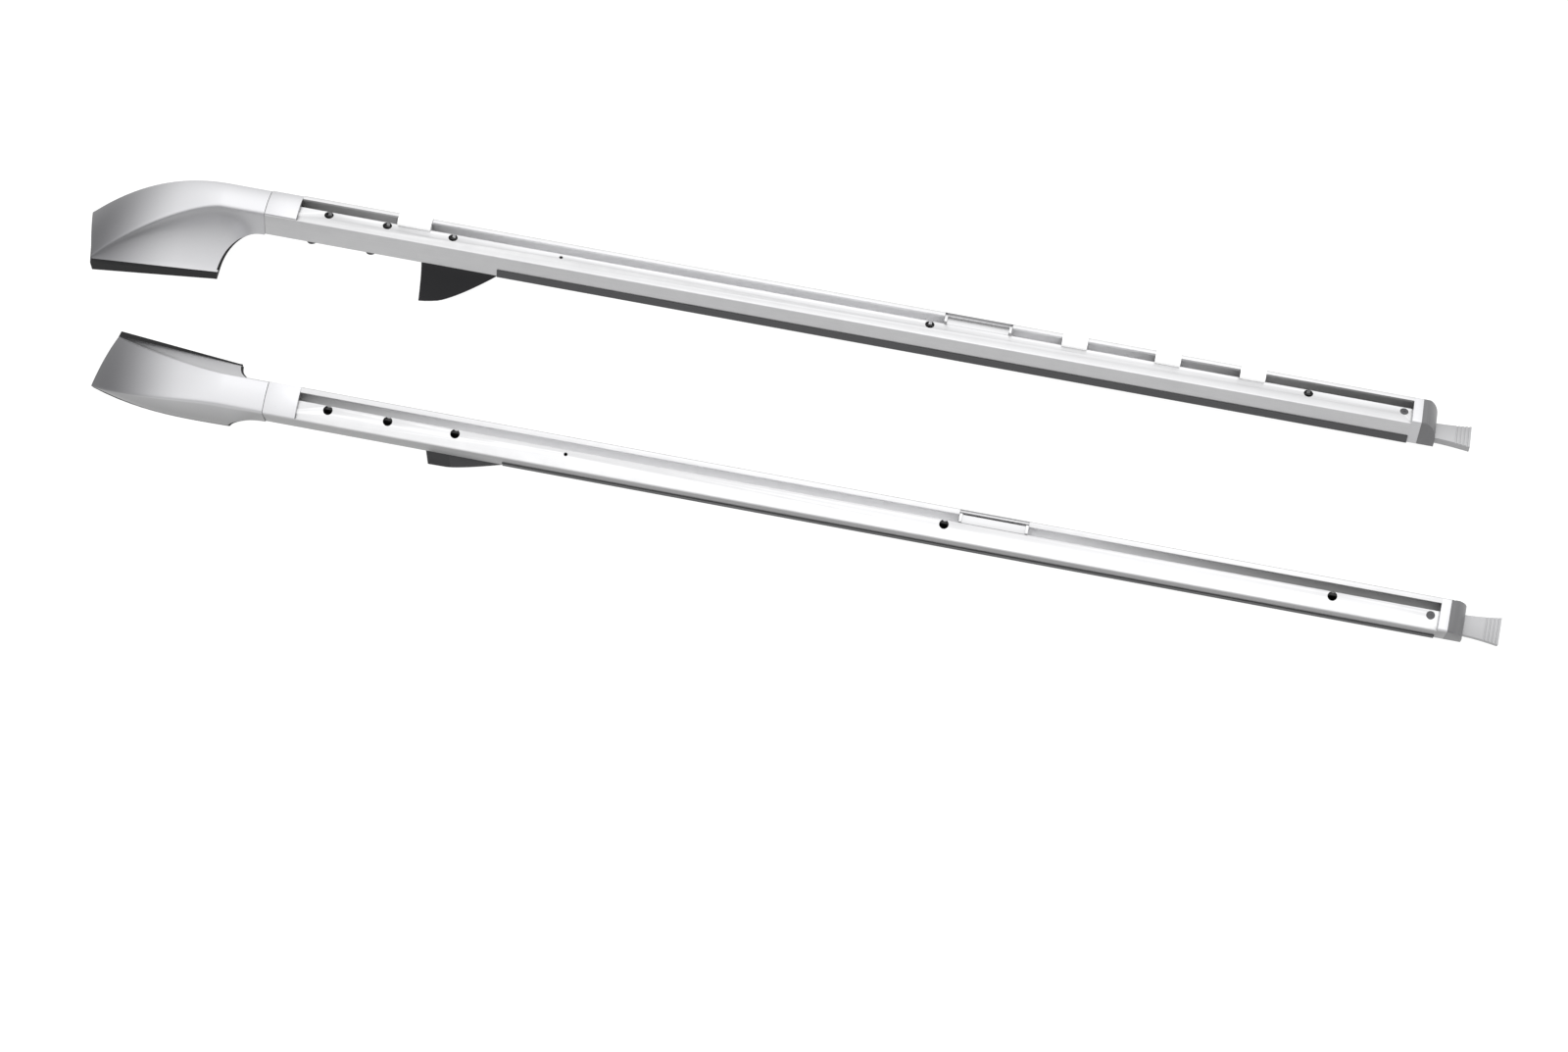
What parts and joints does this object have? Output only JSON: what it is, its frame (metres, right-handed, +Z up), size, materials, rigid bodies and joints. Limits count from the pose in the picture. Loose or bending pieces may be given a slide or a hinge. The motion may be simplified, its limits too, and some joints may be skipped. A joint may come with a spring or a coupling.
{
  "type": "pair of roof bars",
  "caption": "Pair of silver roof bars with a lipped, slotted track on top, moulded front feet, black fin-shaped middle feet and a flared tongue at the rear ends.",
  "frame": {"origin": "on the ground, in the middle of the pair's bounding box", "axes": "+X along the bars towards the rear tongues, +Y towards the right bar, +Z up"},
  "size_m": [1.5603, 0.2685, 0.0766],
  "materials": {
    "silver_metal": "satin anodised extrusion",
    "silver_paint": "satin silver paint",
    "cast_metal": "as cast",
    "tongue_metal": "fine blasted casting",
    "screw_steel": "zinc plated",
    "brass": "turned",
    "rubber": "matt moulded rubber",
    "strip_rubber": "smooth extruded rubber",
    "black_plastic": "fine grained black plastic",
    "grey_plastic": "satin dark grey plastic",
    "clip_plastic": "pale moulded plastic"
  },
  "bodies": {
    "root": {"right_rail": "silver_metal", "left_rail": "silver_metal", "right_front_foot_cover": "silver_paint", "left_front_foot_cover": "silver_paint", "right_front_track_cap": "silver_paint", "left_front_track_cap": "silver_paint", "right_front_foot_pad": "rubber", "left_front_foot_pad": "rubber", "right_front_foot_bracket": "cast_metal", "left_front_foot_bracket": "cast_metal", "right_bracket_screws": "screw_steel", "left_bracket_screws": "screw_steel", "right_foot_inserts": "brass", "left_foot_inserts": "brass", "right_middle_foot": "black_plastic", "left_middle_foot": "black_plastic", "right_middle_foot_pad": "rubber", "left_middle_foot_pad": "rubber", "right_middle_foot_screws": "screw_steel", "left_middle_foot_screws": "screw_steel", "right_seal_strip": "strip_rubber", "left_seal_strip": "strip_rubber", "right_track_gate": "silver_metal", "left_track_gate": "silver_metal", "right_track_clips": "clip_plastic", "right_rear_end_collar": "silver_paint", "left_rear_end_collar": "silver_paint", "right_rear_end_block": "grey_plastic", "left_rear_end_block": "grey_plastic", "right_rear_tongue": "tongue_metal", "left_rear_tongue": "tongue_metal", "right_rear_screw": "screw_steel", "left_rear_screw": "screw_steel"}
  },
  "joints": []
}
